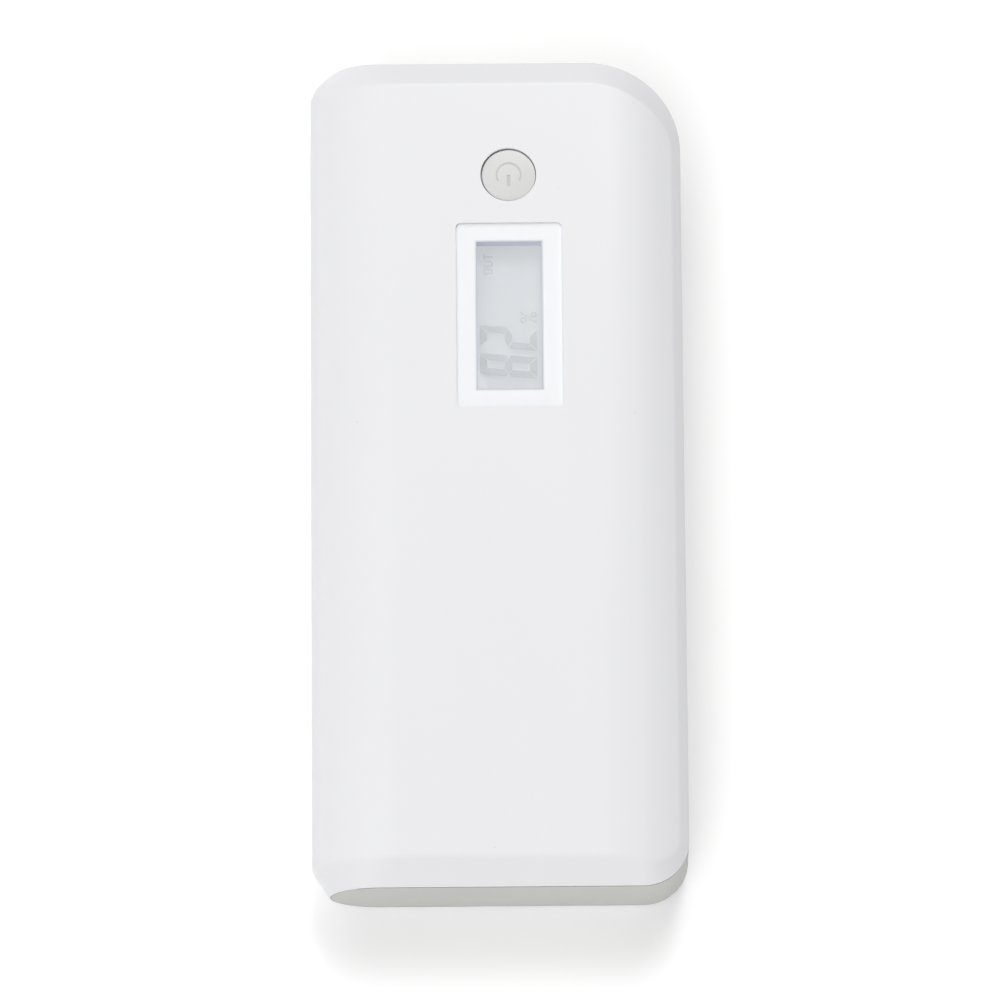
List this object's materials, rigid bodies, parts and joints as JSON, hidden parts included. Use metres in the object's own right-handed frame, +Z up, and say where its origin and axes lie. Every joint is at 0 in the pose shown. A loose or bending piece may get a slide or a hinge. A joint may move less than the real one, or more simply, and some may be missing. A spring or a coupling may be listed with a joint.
{
  "type": "power bank",
  "caption": "Flat white power bank with a rounded spine, grey end band, display, round power button and USB sockets at one end.",
  "frame": {"origin": "middle of the flat face the power bank rests on, below the centre of its bounding box", "axes": "+Z up through the display, +Y towards the end with the sockets, +X away from the rounded spine"},
  "size_m": [0.0702, 0.1614, 0.022],
  "materials": {
    "cover_white": "fine satin moulded",
    "band_grey": "satin",
    "button_grey": "satin, lightly dished",
    "lens_clear": "polished",
    "mask_white": "gloss",
    "gasket_dark": "matt foam",
    "polariser": "matt film",
    "lcd_glass": "polished",
    "lcd_ink": "flat",
    "light_guide": "frosted",
    "holder_white": "satin",
    "led_body": "gloss",
    "strip_rubber": "matt",
    "switch_black": "satin",
    "spring_steel": "bright",
    "tinned_metal": "bright",
    "board_green": "solder resist",
    "screw_steel": "zinc plated",
    "insulator_white": "satin",
    "contact_gold": "plated",
    "ferrite": "matt",
    "copper_coil": "enamelled",
    "chip_black": "matt",
    "can_aluminium": "satin",
    "chip_ceramic": "satin",
    "cell_steel": "nickel plated",
    "electrode_roll": "wound foil",
    "wrap_blue": "shrunk film",
    "ring_card": "matt",
    "nickel": "satin",
    "card_green": "matt",
    "lead_red": "satin",
    "lead_black": "satin",
    "tape_white": "matt"
  },
  "bodies": {
    "housing": {"back_cover": "cover_white", "backlight_led": "led_body", "board_screws": "screw_steel", "boost_converter": "chip_black", "capacitor_cans": "can_aluminium", "cell_1": "cell_steel", "cell_2": "cell_steel", "cell_3": "cell_steel", "cell_4": "cell_steel", "cell_5": "cell_steel", "cell_caps": "nickel", "cell_rings": "ring_card", "cell_windings": "electrode_roll", "cell_wraps": "wrap_blue", "charge_controller": "chip_black", "chip_parts": "chip_ceramic", "contact_strip": "strip_rubber", "display_gasket": "gasket_dark", "display_lens": "lens_clear", "far_negative_strip": "nickel", "far_positive_strip": "nickel", "front_cover": "cover_white", "inductor_coils": "copper_coil", "inductor_cores": "ferrite", "lcd_front_film": "polariser", "lcd_front_glass": "lcd_glass", "lcd_holder": "holder_white", "lcd_rear_film": "polariser", "lcd_rear_glass": "lcd_glass", "lcd_segments": "lcd_ink", "lens_mask": "mask_white", "light_guide": "light_guide", "lower_cell_tapes": "tape_white", "main_board": "board_green", "microcontroller": "chip_black", "mid_frame": "band_grey", "near_negative_strip": "nickel", "near_positive_strip": "nickel", "negative_lead": "lead_black", "positive_lead": "lead_red", "protection_transistors": "chip_black", "row_insulator": "card_green", "switch_base": "switch_black", "switch_cover": "spring_steel", "switch_dome": "spring_steel", "switch_terminals": "tinned_metal", "upper_cell_tapes": "tape_white", "usb_in_contacts": "contact_gold", "usb_in_insulator": "switch_black", "usb_in_shell": "tinned_metal", "usb_out_left_contacts": "contact_gold", "usb_out_left_insulator": "insulator_white", "usb_out_left_shell": "tinned_metal", "usb_out_right_contacts": "contact_gold", "usb_out_right_insulator": "insulator_white", "usb_out_right_shell": "tinned_metal"},
    "button": {"power_button": "button_grey"},
    "plunger": {"switch_plunger": "switch_black"}
  },
  "joints": [
    {"name": "button_press", "type": "slide", "parent": "housing", "child": "button", "axis": [0, 0, -1], "range_m": [0, 0.0003]},
    {"name": "plunger_press", "type": "slide", "parent": "housing", "child": "plunger", "axis": [0, 0, -1], "range_m": [0, 0.0003]}
  ],
  "couplings": [
    {"joint": "plunger_press", "follows": "button_press", "ratio": 1}
  ]
}
